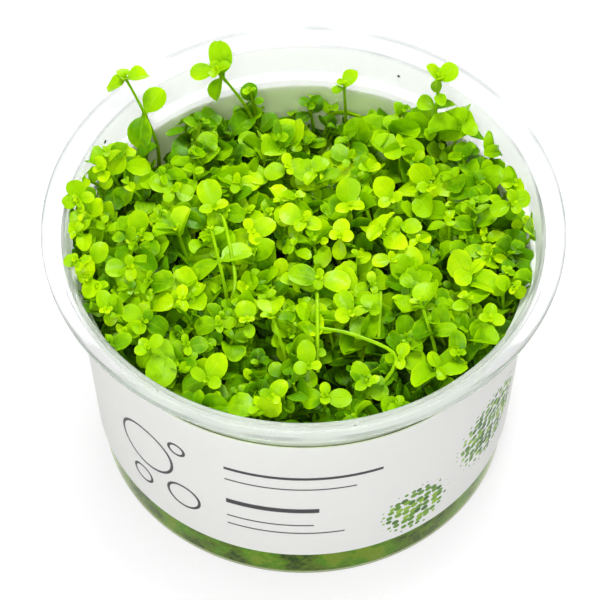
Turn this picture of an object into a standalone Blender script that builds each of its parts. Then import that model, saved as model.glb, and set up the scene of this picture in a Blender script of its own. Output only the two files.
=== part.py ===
"""Carpet plant in its cup.

A low creeping plant with round opposite leaves grows as a dense mat in a clear round cup.
The cup stands on z = 0 with its axis on Z. Units are metres.
"""
import math

import bmesh
import bpy
from mathutils import Matrix, Vector, geometry, noise
from mathutils.bvhtree import BVHTree

MM = 0.001

# Clear space left between pieces that touch
TOUCH_GAP = 0.3 * MM

# Cup
FACETS = 48
BASE_RADIUS = 40.2 * MM
BASE_CORNER = 1.5 * MM
STEP_RADIUS = 43.7 * MM
STEP_HEIGHT = 52.2 * MM
COLLAR_LOW_RADIUS = 45.3 * MM
COLLAR_TOP_RADIUS = 46.1 * MM
LIP_RADIUS = 50.0 * MM
LIP_HEIGHT = 60.8 * MM
LIP_DISH = 0.9 * MM
LIP_EDGE = 0.7 * MM
LIP_FILLET = 0.7 * MM
STEP_SLOPE = 0.6 * MM
WALL = 0.8 * MM
FLOOR = 0.8 * MM
INNER_CORNER = 0.9 * MM

# Label
LABEL_LOW = 9.1 * MM
LABEL_HIGH = 49.3 * MM
LABEL_SHEET = 0.25 * MM
LABEL_SEAM = math.radians(0.8)

# Growing gel
GEL_HEIGHT = 11.0 * MM
GEL_CORNER = 1.2 * MM

# Mat of stems and leaves
MAT_MIDDLE = 48.5 * MM
MAT_SIDE_RISE = 5.5 * MM
MAT_BACK_FALL = 6.5 * MM
MAT_EDGE_DROP = 1.5 * MM
MAT_UNEVEN = 1.2 * MM
MAT_UNEVEN_SPACING = 7.0 * MM
MAT_WALL_GAP = 0.7 * MM
MAT_LEAF_SPACING = 5.6 * MM
MAT_LEAF_HOLLOW = 2.2 * MM
MAT_RIM_MARGIN = 0.4
GOLDEN_TURN = math.radians(137.508)

# Shoots: a small young pair of leaves ends each
STEM_RADIUS_FOOT = 0.45 * MM
STEM_RADIUS_TIP = 0.3 * MM
STEM_UPRIGHT_SHARE = 0.3
FOOT_PROBES = 7
FOOT_PROBE_SPREAD = 1.5
NODE_LENGTH = 0.7 * MM
LEAF_WIDTH_SHARE = 0.88
LEAF_THICKNESS = 0.55 * MM
LEAF_THICKEST_SHARE = 0.55
LEAF_CUP = 0.12
LEAF_ARCH = 0.10
YOUNG_LEAF_SHARE = 0.5
YOUNG_LEAF_LIFT = 30.0
YOUNG_PAIR_RISE = 1.1 * MM

# Half the outline of a leaf from its stalk to its tip: share of length, share of half width
LEAF_OUTLINE = [(0.30, 0.62), (0.62, 1.0), (0.93, 0.55)]

# Every shoot that stands out of the mat, placed by hand as the plant grew, in millimetres.
# Each has its foot (x, y), its tip (x, y, z) and its leaf pairs. A pair has its height as a
# share of the stem, the bearing of its first leaf in degrees, the length and the lift in
# degrees of the first leaf and of the second, and where the second isn't quite opposite the
# first, the degrees it is turned away from there.
SHOOTS = [
    ((-28.5, 27.8), (-34.5, 31, 67), [(0.64, 32, 6.0, 28, 6.8, -35, 25), (0.99, 15, 4.8, -12, 4.4, 12)]),
    ((-9.5, 36.5), (-17, 35.5, 64), [(0.92, 72, 7.2, 35, 5.4, -30, -35), (1.0, 180, 5.2, 20, 3.2, 15)]),
    ((-9, 37.5), (-10.5, 38, 54.5), [(0.80, 115, 4.0, 50, 2.2, 10, 60)]),
    ((8.5, 36), (8, 37.5, 57), [(0.96, 60, 4.6, 32, 2.5, 0, -50)]),
    ((2, 38), (1, 38, 50), [(0.75, 45, 4.2, 40, 3.5, 20)]),
    ((25, 27), (26.5, 31.5, 66.5), [(0.36, 200, 4.5, 10, 2.5, 20), (0.72, 20, 4.2, 15, 4.0, 20, -35),
                                  (0.86, 100, 3.5, 20, 3.5, 10), (0.97, 0, 4.6, 60, 4.2, 55)]),
    ((17, 35), (20, 34, 54), [(0.85, 150, 2.8, 50, 2.4, 40)]),
    ((13, 35), (14, 35, 50), [(0.75, 100, 3.2, 50, 2.8, 20)]),
    ((29, 26), (32, 23, 55), [(0.85, 10, 3.4, 5, 2.6, 30)]),
    ((37, 10), (40, 5, 61), [(0.60, 330, 4.3, -15, 3.0, 15), (0.93, 30, 4.0, 25, 4.4, 10)]),
    ((34, 19), (36, 17, 54), [(0.80, 300, 4.5, 20, 3.5, 30)]),
    ((38, -10), (39.7, -13, 58), [(0.80, 335, 3.7, 8, 3.5, 20)]),
    ((-39, 11), (-43, 5, 62), [(0.50, 300, 4.5, 10, 3.0, 20), (0.86, 95, 4.8, 38, 3.0, 10),
                               (0.97, 195, 3.6, 25, 3.0, 0)]),
    ((-39, -5), (-42.8, -9.5, 62), [(0.55, 40, 4.8, 20, 3.0, 10), (0.92, 180, 3.2, 30, 2.6, 10)]),
    ((-36, 17), (-39, 14, 60), [(0.62, 50, 5.5, 30, 3.0, 10), (0.88, 100, 3.5, 50, 3.0, 40)]),
    ((-14.5, -11), (-17.5, -1, 60), [(0.72, 5, 6.6, 8, 5.8, -5), (0.95, 40, 3.2, 40, 3.0, 20)]),
    ((-3, -25), (-6, -19, 57), [(0.97, 100, 6.2, 36, 2.6, 20)]),
    ((25, -24), (22, -18, 60), [(0.60, 185, 5.0, -5, 5.0, 0), (0.92, 70, 7.0, 40, 3.0, 30)]),
    ((32, -17), (31, -15, 57), [(0.85, 40, 5.2, 20, 3.6, 20)]),
    ((16, -26), (18, -28, 56), [(0.80, 0, 6.0, 10, 3.0, 30)]),
    ((-1, 8), (0, 4, 57), [(0.50, 250, 3.5, 0, 4.0, 0), (0.85, 155, 4.8, 15, 4.0, 20)]),
    ((8, 13), (9, 8, 56), [(0.82, 100, 5.5, 20, 4.5, 0, -25)]),
    ((17, 15), (17, 10, 56), [(0.82, 120, 5.0, 20, 4.0, 10)]),
    ((24, 18), (24, 12, 57), [(0.82, 110, 5.5, 30, 3.0, 0)]),
    ((19, 7), (18, 2, 57), [(0.82, 175, 4.8, 0, 4.5, 5)]),
    ((17, -1), (17, -5, 56), [(0.80, 10, 6.0, 15, 4.0, 10)]),
    ((7, 3), (7, 0, 57), [(0.85, 265, 4.2, 0, 3.8, 20)]),
    ((3, -7), (3, -10, 57), [(0.85, 170, 6.0, 10, 6.0, 0)]),
    ((12, -8), (13, -10, 55), [(0.75, 20, 4.5, 5, 3.0, 10)]),
    ((9, -15), (9, -17, 55), [(0.75, 110, 5.4, 10, 5.4, 5, 15)]),
    ((-10, 5), (-10, 2, 56), [(0.80, 200, 5.0, 0, 5.0, 10)]),
    ((-17, 9), (-17, 7, 57), [(0.82, 110, 6.3, 15, 4.5, 0, -20)]),
    ((-25, 16), (-25, 12, 56), [(0.78, 150, 5.0, 10, 4.0, 10)]),
    ((-31, 4), (-31, 0, 57), [(0.80, 100, 5.0, 15, 4.0, 0)]),
    ((-34, -5), (-33, -8, 58), [(0.82, 195, 4.5, 0, 5.0, 10)]),
    ((-30, -17), (-30, -20, 57), [(0.80, 150, 4.9, 15, 5.0, 0)]),
    ((-37, -16), (-37, -19, 59), [(0.80, 110, 4.0, 20, 3.0, 0)]),
    ((-28, -27), (-29, -28, 59), [(0.80, 300, 6.8, -20, 3.5, 20)]),
    ((-18, -30), (-18, -33, 56), [(0.78, 60, 5.8, 20, 5.2, 5, -45)]),
    ((-22, -23), (-22, -25, 56), [(0.75, 190, 4.6, 5, 4.2, 20)]),
    ((-16, -17), (-16, -20, 56), [(0.75, 190, 4.8, 0, 3.5, 5)]),
    ((-10.5, -18), (-10.5, -20, 57), [(0.85, 100, 4.3, 30, 3.0, 0)]),
    ((1, -27), (1, -30, 56), [(0.80, 100, 5.4, 30, 3.8, 0)]),
    ((4, -34), (4, -36, 55), [(0.75, 0, 5.0, 5, 4.5, 0)]),
    ((-6, -34), (-6, -37, 56), [(0.75, 55, 4.3, 25, 5.0, -10, -20)]),
    ((12, -31), (12, -33, 55), [(0.75, 120, 5.0, 25, 4.4, 15, 20)]),
    ((29, -26), (29, -27, 56), [(0.75, 95, 5.2, 30, 2.5, 0)]),
    ((34, -18), (35, -20.5, 58), [(0.80, 265, 5.8, -10, 3.5, 30)]),
    ((35, -1), (35, -4, 57), [(0.80, 170, 4.5, 10, 4.5, 0)]),
    ((28, 2), (28, 4, 57), [(0.85, 175, 4.5, 0, 4.5, 0)]),
    ((34, 9), (32.5, 7, 57), [(0.85, 340, 3.8, -5, 2.8, 10)]),
    ((-23, -12), (-23, -14, 56), [(0.75, 180, 4.5, 0, 4.5, 0)]),
    ((-13, 18), (-13, 14, 56), [(0.80, 170, 4.5, 10, 4.5, 0)]),
    ((-4, 22), (-3, 18, 56), [(0.80, 20, 4.5, 10, 4.5, 10)]),
    ((10, 25), (9, 21, 55), [(0.78, 150, 4.5, 10, 4.5, 0)]),
    ((-21.5, 28.5), (-20, 31, 53.5), [(0.92, 50, 5.5, 30, 3.6, 10, -45)]),
]


def clear_scene():
    """Remove whatever the scene holds."""
    for thing in list(bpy.data.objects):
        bpy.data.objects.remove(thing, do_unlink=True)


def plain_material(name, colour, roughness, alpha=1.0):
    """Return a Principled material of one colour."""
    material = bpy.data.materials.new(name)
    material.use_nodes = True
    shader = material.node_tree.nodes["Principled BSDF"]
    shader.inputs["Base Color"].default_value = (*colour, 1.0)
    shader.inputs["Roughness"].default_value = roughness
    shader.inputs["Metallic"].default_value = 0.0
    shader.inputs["Alpha"].default_value = alpha
    return material


def finish_piece(name, shape, material, sharp_angle):
    """Turn a closed bmesh into a named object, shaded smooth but for edges over sharp_angle."""
    bmesh.ops.recalc_face_normals(shape, faces=shape.faces)
    mesh = bpy.data.meshes.new(name)
    shape.to_mesh(mesh)
    shape.free()
    mesh.shade_smooth()
    mesh.set_sharp_from_angle(angle=math.radians(sharp_angle))
    mesh.materials.append(material)
    piece = bpy.data.objects.new(name, mesh)
    bpy.context.scene.collection.objects.link(piece)
    return piece


def turned_shape(profile, start=0.0, sweep=2 * math.pi, closed_profile=False):
    """Spin a profile of (radius, height) points round Z from the bearing start."""
    shape = bmesh.new()
    points = [shape.verts.new((radius, 0.0, height)) for radius, height in profile]
    edges = [shape.edges.new(pair) for pair in zip(points, points[1:])]
    if closed_profile:
        edges.append(shape.edges.new((points[-1], points[0])))
    bmesh.ops.rotate(shape, verts=points, cent=(0, 0, 0), matrix=Matrix.Rotation(start, 3, "Z"))
    bmesh.ops.spin(shape, geom=points + edges, cent=(0, 0, 0), axis=(0, 0, 1),
                   angle=sweep, steps=FACETS)
    bmesh.ops.remove_doubles(shape, verts=shape.verts, dist=0.001 * MM)
    return shape


def arc(centre_radius, centre_height, size, first, last, steps):
    """Points of an arc of a profile, from the angle first to last in degrees."""
    angles = [math.radians(first + (last - first) * step / steps) for step in range(steps + 1)]
    return [(centre_radius + size * math.cos(a), centre_height + size * math.sin(a)) for a in angles]


def wall_radius(height):
    """Outer radius of the cup's wall below the step."""
    share = (height - BASE_CORNER) / (STEP_HEIGHT - BASE_CORNER)
    return BASE_RADIUS + (STEP_RADIUS - BASE_RADIUS) * share


def make_cup(material):
    """The thin clear cup: flat base, tapered wall, stepped collar and wide lip."""
    lip_low = LIP_HEIGHT - 2 * LIP_EDGE
    inner_lip = COLLAR_TOP_RADIUS - WALL
    outside = [(0.0, 0.0)]
    outside += arc(BASE_RADIUS - BASE_CORNER, BASE_CORNER, BASE_CORNER, -90, 0, 2)
    outside += [(STEP_RADIUS, STEP_HEIGHT), (COLLAR_LOW_RADIUS, STEP_HEIGHT + STEP_SLOPE)]
    outside += [(COLLAR_TOP_RADIUS, lip_low - LIP_FILLET), (COLLAR_TOP_RADIUS + LIP_FILLET, lip_low)]
    outside += arc(LIP_RADIUS - LIP_EDGE, LIP_HEIGHT - LIP_EDGE, LIP_EDGE, -90, 90, 4)
    dish = LIP_HEIGHT - LIP_DISH
    inside = [(inner_lip + LIP_FILLET, dish), (inner_lip, dish - LIP_FILLET)]
    inside += [(COLLAR_LOW_RADIUS - WALL, STEP_HEIGHT + WALL), (STEP_RADIUS - WALL, STEP_HEIGHT)]
    inside += [(BASE_RADIUS - WALL, FLOOR + INNER_CORNER), (BASE_RADIUS - WALL - INNER_CORNER, FLOOR)]
    inside += [(0.0, FLOOR)]
    return finish_piece("cup", turned_shape(outside + inside), material, 50)


def make_label(material):
    """The printed band round the wall, with its butt seam at the back."""
    low_radius = wall_radius(LABEL_LOW) + TOUCH_GAP
    high_radius = wall_radius(LABEL_HIGH) + TOUCH_GAP
    profile = [(low_radius, LABEL_LOW), (low_radius + LABEL_SHEET, LABEL_LOW),
               (high_radius + LABEL_SHEET, LABEL_HIGH), (high_radius, LABEL_HIGH)]
    start = math.pi / 2 + LABEL_SEAM / 2
    band = turned_shape(profile, start, 2 * math.pi - LABEL_SEAM, closed_profile=True)
    bmesh.ops.holes_fill(band, edges=[edge for edge in band.edges if edge.is_boundary], sides=4)
    return finish_piece("label", band, material, 40)


def make_gel(material):
    """The disc of clear gel that the plant is rooted in."""
    low = FLOOR + TOUCH_GAP
    side_gap = WALL + TOUCH_GAP
    foot = wall_radius(low + GEL_CORNER) - side_gap
    profile = [(0.0, low), (foot - GEL_CORNER, low), (foot, low + GEL_CORNER)]
    profile += [(wall_radius(GEL_HEIGHT) - side_gap, GEL_HEIGHT), (0.0, GEL_HEIGHT)]
    return finish_piece("gel", turned_shape(profile), material, 40)


def mat_height(x, y):
    """Height of the mat's leaves at a place: higher at the sides, lower behind and uneven."""
    reach = BASE_RADIUS
    height = MAT_MIDDLE + MAT_SIDE_RISE * (x / reach) ** 2
    height -= MAT_BACK_FALL * (max(y, 0.0) / reach) ** 2
    height -= MAT_EDGE_DROP * (math.hypot(x, y) / reach) ** 8
    return height + MAT_UNEVEN * noise.noise(Vector((x, y, 0.0)) / MAT_UNEVEN_SPACING)


def make_mat(material):
    """The dense mat of stems and leaves that fills the cup, as one body with leaf-sized lumps."""
    low = GEL_HEIGHT + TOUCH_GAP
    inset = WALL + MAT_WALL_GAP
    places = []
    for step in range(FACETS):
        bearing = 2 * math.pi * step / FACETS
        way = Vector((math.cos(bearing), math.sin(bearing)))
        places.append(way * (wall_radius(mat_height(*(way * BASE_RADIUS))) - inset))
    leaf_reach = min(place.length for place in places) - MAT_LEAF_SPACING * MAT_RIM_MARGIN
    leaf_area = MAT_LEAF_SPACING ** 2 * math.sin(math.pi / 3)
    leaf_count = round(math.pi * leaf_reach ** 2 / leaf_area)
    for number in range(leaf_count):
        distance = leaf_reach * math.sqrt((number + 0.5) / leaf_count)
        turn = number * GOLDEN_TURN
        places.append(Vector((distance * math.cos(turn), distance * math.sin(turn))))
    places, _, triangles, *_ = geometry.delaunay_2d_cdt(places, [], [], 0, 0.001 * MM)

    shape = bmesh.new()
    crowns = [shape.verts.new((place.x, place.y, mat_height(place.x, place.y))) for place in places]
    top = [shape.faces.new([crowns[index] for index in triangle]) for triangle in triangles]
    hollows = bmesh.ops.poke(shape, faces=top)["verts"]
    bmesh.ops.translate(shape, verts=hollows, vec=(0, 0, -MAT_LEAF_HOLLOW))
    side = bmesh.ops.extrude_edge_only(shape, edges=[e for e in shape.edges if e.is_boundary])
    bottom = [item for item in side["geom"] if isinstance(item, bmesh.types.BMVert)]
    for corner in bottom:
        corner.co.z = 0.0
        corner.co = corner.co.normalized() * (wall_radius(low) - inset)
        corner.co.z = low
    bmesh.ops.holes_fill(shape, edges=[e for e in shape.edges if e.is_boundary], sides=0)
    return finish_piece("carpet", shape, material, 60)


def leaf_on_face(shape, face, outward, stem_way, length, lift):
    """Grow one round leaf out of a side face of the stem, which it takes the place of."""
    lift = math.radians(lift)
    along = outward * math.cos(lift) + stem_way * math.sin(lift)
    upward = stem_way * math.cos(lift) - outward * math.sin(lift)
    across = along.cross(upward)
    base = face.calc_center_median()
    corners = list(face.verts)
    half_width = length * LEAF_WIDTH_SHARE / 2

    def blade_point(share, side, rise):
        bend = LEAF_CUP * abs(side) - LEAF_ARCH * share * share
        spread = along * length * share + across * half_width * side
        return base + spread + upward * (length * bend + rise)

    def corner(side, high):
        return max(corners, key=lambda v: (v.co - base).dot(across * side + upward * high))

    outline = [blade_point(share, side, 0.0) for share, side in LEAF_OUTLINE]
    outline += [blade_point(share, -side, 0.0) for share, side in reversed(LEAF_OUTLINE)]
    rim = [shape.verts.new(point) for point in outline]
    top = shape.verts.new(blade_point(LEAF_THICKEST_SHARE, 0.0, LEAF_THICKNESS / 2))
    under = shape.verts.new(blade_point(LEAF_THICKEST_SHARE, 0.0, -LEAF_THICKNESS / 2))
    bmesh.ops.delete(shape, geom=[face], context="FACES_ONLY")
    for middle, high in ((top, 1), (under, -1)):
        loop = [corner(1, high)] + rim + [corner(-1, high)]
        for first, second in zip(loop, loop[1:] + loop[:1]):
            shape.faces.new((first, second, middle))
    shape.faces.new((corner(1, 1), corner(1, -1), rim[0]))
    shape.faces.new((corner(-1, 1), corner(-1, -1), rim[-1]))


def stem_frame(way, bearing):
    """Direction square to the stem that points to a bearing, and the one beside it."""
    flat = Vector((math.cos(bearing), math.sin(bearing), 0.0))
    outward = (flat - way * flat.dot(way)).normalized()
    return outward, way.cross(outward)


def shoot_shape(foot, tip, pairs):
    """A stem of square section from foot to tip with its leaf pairs, as one closed skin."""
    shape = bmesh.new()
    rise = foot + Vector((0.0, 0.0, (tip - foot).length * STEM_UPRIGHT_SHARE))

    def stem_point(share):
        return foot * (1 - share) ** 2 + rise * 2 * share * (1 - share) + tip * share ** 2

    def stem_way(share):
        return ((rise - foot) * (1 - share) + (tip - rise) * share).normalized()

    def section(share, shift, outward, beside):
        radius = STEM_RADIUS_FOOT + (STEM_RADIUS_TIP - STEM_RADIUS_FOOT) * share
        centre = stem_point(share) + stem_way(share) * shift
        signs = ((1, 1), (-1, 1), (-1, -1), (1, -1))
        return [shape.verts.new(centre + (outward * a + beside * b) * radius) for a, b in signs]

    last_share, last_turn, last_length, _, last_opposite, *_ = pairs[-1]
    young_share = max(1.0, last_share + YOUNG_PAIR_RISE / (tip - foot).length)
    young_length = YOUNG_LEAF_SHARE * (last_length + last_opposite) / 2
    young = (young_share, last_turn + 90, young_length, YOUNG_LEAF_LIFT, young_length, YOUNG_LEAF_LIFT)
    bearing = math.radians(pairs[0][1])
    below = section(0.0, 0.0, *stem_frame(stem_way(0.0), bearing))
    shape.faces.new(below)
    for share, turn, first_length, first_lift, second_length, second_lift, *swing in pairs + [young]:
        turn = math.radians(turn)
        opposite_turn = turn + math.pi + math.radians(sum(swing))
        quarter_turns = round((turn - bearing) / (math.pi / 2))
        bearing = turn - quarter_turns * math.pi / 2
        way = stem_way(share)
        outward, beside = stem_frame(way, bearing)
        low = section(share, -NODE_LENGTH / 2, outward, beside)
        high = section(share, NODE_LENGTH / 2, outward, beside)
        sides = []
        for lower, upper in ((below, low), (low, high)):
            sides = [shape.faces.new((lower[k], lower[(k + 1) % 4], upper[(k + 1) % 4], upper[k]))
                     for k in range(4)]
        leaves = ((turn, first_length, first_lift), (opposite_turn, second_length, second_lift))
        for leaf_turn, length, lift in leaves:
            growth = stem_frame(way, leaf_turn)[0]
            facing = [(side.calc_center_median() - stem_point(share)).dot(growth) for side in sides]
            side = sides.pop(facing.index(max(facing)))
            leaf_on_face(shape, side, growth, way, length * MM, lift)
        below = high
    shape.faces.new(below)
    return shape


def rest_height(surface, x, y):
    """Height at which a stem's foot clears the mat below it."""
    spread = STEM_RADIUS_FOOT * FOOT_PROBE_SPREAD
    steps = [spread * (2 * probe / (FOOT_PROBES - 1) - 1) for probe in range(FOOT_PROBES)]
    starts = [Vector((x + step_x, y + step_y, LIP_HEIGHT)) for step_x in steps for step_y in steps]
    return max(surface.ray_cast(start, Vector((0, 0, -1)))[0].z for start in starts) + TOUCH_GAP


def make_shoots(mat, material):
    """Every shoot that stands out of the mat, each its own piece."""
    surface = BVHTree.FromPolygons([corner.co for corner in mat.data.vertices],
                                   [face.vertices for face in mat.data.polygons])
    for number, (foot, tip, pairs) in enumerate(SHOOTS, start=1):
        x, y = foot[0] * MM, foot[1] * MM
        shape = shoot_shape(Vector((x, y, rest_height(surface, x, y))), Vector(tip) * MM, pairs)
        finish_piece(f"shoot_{number:02d}", shape, material, 50)


def build():
    clear_scene()
    make_cup(plain_material("clear_plastic", (0.90, 0.94, 0.95), 0.12, alpha=0.35))
    make_label(plain_material("printed_label", (0.84, 0.84, 0.83), 0.45))
    make_gel(plain_material("growing_gel", (0.16, 0.22, 0.05), 0.2))
    mat = make_mat(plain_material("mat_green", (0.10, 0.25, 0.01), 0.5))
    make_shoots(mat, plain_material("leaf_green", (0.36, 0.62, 0.01), 0.4))


build()
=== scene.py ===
"""Looks of the carpet plant in its cup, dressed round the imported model.

Units are metres and +Z is up. The cup stands on z = 0 with its axis on Z, and the camera looks
along +Y and down.
"""

import math

import bmesh
import bpy
import numpy as np
from mathutils import Matrix, Vector
from mathutils.bvhtree import BVHTree


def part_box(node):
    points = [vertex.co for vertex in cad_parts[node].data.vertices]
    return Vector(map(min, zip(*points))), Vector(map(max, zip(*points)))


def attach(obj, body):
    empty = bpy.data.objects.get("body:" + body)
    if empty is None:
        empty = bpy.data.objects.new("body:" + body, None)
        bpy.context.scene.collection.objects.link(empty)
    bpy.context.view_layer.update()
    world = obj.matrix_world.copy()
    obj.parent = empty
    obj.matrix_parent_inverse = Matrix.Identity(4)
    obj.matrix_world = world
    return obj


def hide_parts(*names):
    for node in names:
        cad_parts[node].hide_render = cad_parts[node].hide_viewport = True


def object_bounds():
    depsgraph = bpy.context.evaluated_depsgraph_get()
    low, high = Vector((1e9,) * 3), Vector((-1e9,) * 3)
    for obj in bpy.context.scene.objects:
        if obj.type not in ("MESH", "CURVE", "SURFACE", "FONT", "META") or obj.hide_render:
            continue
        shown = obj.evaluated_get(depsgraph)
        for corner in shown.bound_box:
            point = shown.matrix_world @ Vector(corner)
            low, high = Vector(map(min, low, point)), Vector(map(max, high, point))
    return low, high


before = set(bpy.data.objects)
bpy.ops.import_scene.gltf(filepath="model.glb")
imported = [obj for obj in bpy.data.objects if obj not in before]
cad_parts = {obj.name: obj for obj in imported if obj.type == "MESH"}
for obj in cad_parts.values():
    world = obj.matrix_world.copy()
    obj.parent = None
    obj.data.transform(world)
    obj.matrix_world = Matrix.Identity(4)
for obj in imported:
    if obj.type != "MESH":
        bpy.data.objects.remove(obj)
CAD_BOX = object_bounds()

MM = 0.001
RNG = np.random.default_rng(23)

# Camera, fitted to the photograph's lip, step and label edges
CAMERA_PLACE = Vector((-0.67, -474.2, 669.4)) * MM
CAMERA_WAY = Vector((0.0, 0.5997, -0.8002))
CAMERA_LENS = 243.2

# Cup: the driving dimensions of its solid, but thinner round the gel, which shows up to its edge
CUP_SEGMENTS = 256
MIST_HEIGHT = 11.5 * MM
BASE_RADIUS = 40.2 * MM
BASE_CORNER = 1.5 * MM
STEP_RADIUS = 43.7 * MM
STEP_HEIGHT = 52.2 * MM
STEP_SLOPE = 0.6 * MM
COLLAR_LOW_RADIUS = 45.3 * MM
COLLAR_TOP_RADIUS = 46.1 * MM
LIP_RADIUS = 50.0 * MM
LIP_HEIGHT = 60.8 * MM
LIP_DISH = 0.9 * MM
LIP_EDGE = 0.7 * MM
LIP_FILLET = 0.7 * MM
LIP_GROOVE_RADIUS = 47.4 * MM
LIP_GROOVE = 0.18 * MM
# Radii of painted shade lines on the lip, along its inner and outer edges
LIP_EDGE_SHADE_LINES = (45.6 * MM, 49.8 * MM)
WALL = 0.8 * MM
FLOOR = 0.4 * MM
FOOT_WALL = 0.35 * MM
FOOT_TOP = 10.5 * MM
INNER_CORNER = 1.2 * MM
HAZE_SCALE = 160.0

# Crumbs of leaf on the lip and the collar: place (x, y, z) and size in millimetres
CRUMBS = [(33.7, 30.3, 56.0, 0.55), (18.8, 40.8, 55.9, 0.40), (-38.5, 23.2, 57.0, 0.50),
          (9.5, -46.4, 60.1, 0.25), (-27.0, -38.5, 60.1, 0.25)]

# Label. Its print is given in millimetres round the film from the front and up from the table:
# rings and clusters by middle and radius, bars by height, both ends and half thickness.
LABEL_LOW = 9.1 * MM
LABEL_HIGH = 49.3 * MM
LABEL_GAP = 0.3 * MM
LABEL_SHEET = 0.25 * MM
LABEL_SEAM = math.radians(0.05)
LABEL_MEAN_RADIUS = 42.0
LABEL_RINGS = [(-33, 30, 6.5), (-24.5, 20.5, 3.6), (-35, 18.5, 2.4), (-25, 37, 1.7),
               (112, 29, 6), (100, 21, 3)]
LABEL_BARS = [(38, -15, 15, 0.45), (34, -15, 10, 0.22), (26, -15, 3, 0.75),
              (20.5, -15, 2, 0.22), (17.5, -15, 8, 0.22)]
FLECK_CLUSTERS = [(23, 17.5, 9), (43, 27, 12.5), (62, 16, 7.5)]
FLECK_SIZE = 0.48
RING_LINE = 0.32
PRINT_EDGE = 0.06

# Growing gel
GEL_LOW = FLOOR + 0.05 * MM
GEL_HEIGHT = 11.0 * MM
GEL_CORNER = 1.15 * MM
GEL_WALL_GAP = 0.05 * MM

# Stems and leaves of the shoots
STEM_SIDES = 6
STEM_RADIUS_FOOT = 0.42 * MM
STEM_RADIUS_TIP = 0.26 * MM
STEM_UPRIGHT_SHARE = 0.3
STEM_IN_MAT = 9.0 * MM
RUNNER_RADIUS = 0.36 * MM
NODE_SWELL = 0.35
LEAF_WIDTH = 0.84
LEAF_TURN = math.radians(38)
LIGHT_WAY = Vector((0.0, -0.42, 0.91))
LEAF_SHEET = 0.15 * MM
# Heights between which painted shade deepens the leaves' green downwards
LEAF_SHADE_HEIGHTS = (46.0 * MM, 60.0 * MM)
PETIOLE_SHARE = 0.10
PETIOLE_WIDTH = 0.075
YOUNG_SHARE = (0.36, 0.66)
YOUNG_LIFT = 30.0
BUD_LEAVES = (1.3, 1.1)
BUD_LIFT = 62.0
STEM_TINT = 0.8
SHADED_STEM_TINT = 0.2
TALL_TINT = (0.28, 0.58)
# Painted light on tall shoots in the middle of the mat
TALL_LIT_TINT = 0.34
TALL_SHADE = 0.32
WALL_CLEARANCE = 0.35 * MM
TOP_CLEARANCE = 0.1 * MM

# Small shoots that fill the mat between the tall ones: heights, leans and leaves in millimetres.
# A pair has its share of the stem, then for each leaf its length, least lift and spread of lift.
SMALL_SHOOTS = 310
SMALL_REACH = 42.2 * MM
SMALL_SCATTER = 1.3 * MM
SMALL_DEPTH = 7.0 * MM
SMALL_LEAN = 9.0
SMALL_HEIGHT = 7.5
SMALL_CURL = 1.2
SMALL_PAIRS = [(0.30, 5.2, 0, 40, 5.0, 0, 40), (0.62, 5.6, 10, 40, 5.0, 0, 45),
               (0.88, 5.0, 15, 45, 4.5, 15, 45)]
LEGGY_SHARE = 0.55
LEGGY_NODES = (0.56, 0.90)
BUDDING_SHARE = 0.4
TINT_LEAST = 0.02
TINT_SPREAD = 0.66
# Painted light in the middle of the mat
TINT_LIT = 0.44
# Painted light at the back of the mat
TINT_BACK_LIGHT = 0.12

# Where the mat changes, in millimetres: start and width of its back and left margins, and place
# and squared spread of its taller tuft
BACK_MARGIN = (22.0, 16.0)
LEFT_MARGIN = (26.0, 10.0)
LEFT_LEAN = 0.45
LEFT_RISE = 2.5
TUFT = (29.0, 27.0, 60.0)
TUFT_RISE = 4.5

# Low leaves between the shoots, in millimetres, and the shaded core under them
LOW_LEAVES = 850
LOW_SCATTER = 1.0 * MM
LOW_DEPTH = (1.5, 8.5)
LOW_TILT = 0.3
LOW_LENGTH = (3.8, 5.6)
LOW_LIFT = (-15, 30)
LOW_TINT = (0.05, 0.35)
# Heights between which painted shade deepens the low leaves' green downwards
LOW_SHADE_HEIGHTS = (40.0 * MM, 58.0 * MM)
HOLLOW_DEPTH = 4.0
MAT_REACH = 39.6 * MM
CORE_RINGS = 22
CORE_TURNS = 72
CORE_DEPTH = 9.0 * MM
CORE_DIP = 2.0
CORE_MARGIN = 0.5 * MM
CORE_FOOT_MARGIN = 0.8 * MM
CORE_GEL_GAP = 0.3 * MM

# Dark hollows between the shoots: middle (x, y) and size in millimetres
HOLLOWS = [(0.3, 1.5, 4), (5, -2, 3.5), (-24, -13, 4), (-26.5, -22, 3.5),
           (12.8, 0.5, 3.5), (26, -8, 4), (1.3, -8, 3), (9, -13, 5),
           (20, -24, 4.5), (5, -24, 4), (27, -15, 4)]

# Where painted light brightens the leaves in the middle of the mat, where the cup shades them, and the mat's
# layout
LIT_PLACE = (0.0, 10.0 * MM)
LIT_REACH = (34.0 * MM, 26.0 * MM)
SHADED_BACK = 22.0 * MM
GOLDEN_TURN = math.radians(137.508)
REGIONS = ("front", "right", "back", "left")

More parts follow.
